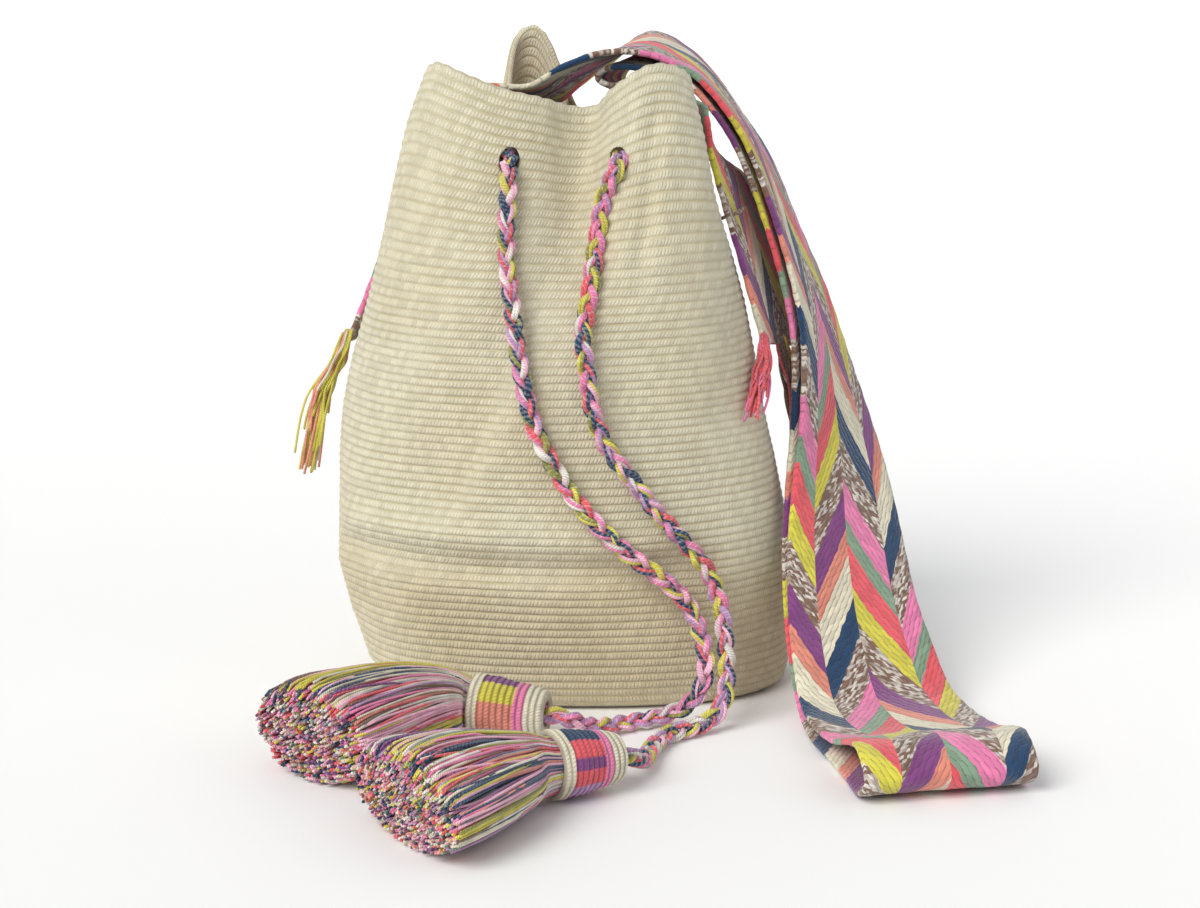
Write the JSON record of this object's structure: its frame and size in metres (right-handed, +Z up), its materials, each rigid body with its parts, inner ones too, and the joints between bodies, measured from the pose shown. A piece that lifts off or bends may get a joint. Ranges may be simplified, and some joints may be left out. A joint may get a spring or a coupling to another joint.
{
  "type": "crocheted bucket bag",
  "caption": "Crocheted cream bucket bag with a gathered mouth, a braided drawstring ending in tassels, and a wide patterned strap draped down one side.",
  "frame": {"origin": "on the floor under the bag body, on its flat base", "axes": "+Z up, +X to the right as seen from the side with the tassels, +Y to the back; the base faces -Z"},
  "size_m": [0.3532, 0.3903, 0.3231],
  "materials": {
    "cream_crochet": "cream cotton crochet in tight horizontal rounds",
    "mixed_braid": "three-strand plait of pink, purple, navy, yellow, green and cream yarns",
    "patterned_strap": "finger-woven band with chevron stripes in nine colours",
    "sewing_thread": "brown cotton sewing thread",
    "tassel_cap": "crocheted cap with blocks of colour",
    "binding_thread": "cream cotton thread wound tight",
    "tassel_yarn": "bundle of cut cotton yarns in mixed colours"
  },
  "bodies": {
    "root": {"bag_body": "cream_crochet", "drawstring": "mixed_braid", "strap": "patterned_strap", "strap_thread_left": "sewing_thread", "strap_thread_right": "sewing_thread", "tassel_cap_back": "tassel_cap", "tassel_cap_front": "tassel_cap", "tassel_binding_back": "binding_thread", "tassel_binding_front": "binding_thread", "tassel_skirt_back": "tassel_yarn", "tassel_skirt_front": "tassel_yarn"}
  },
  "joints": []
}
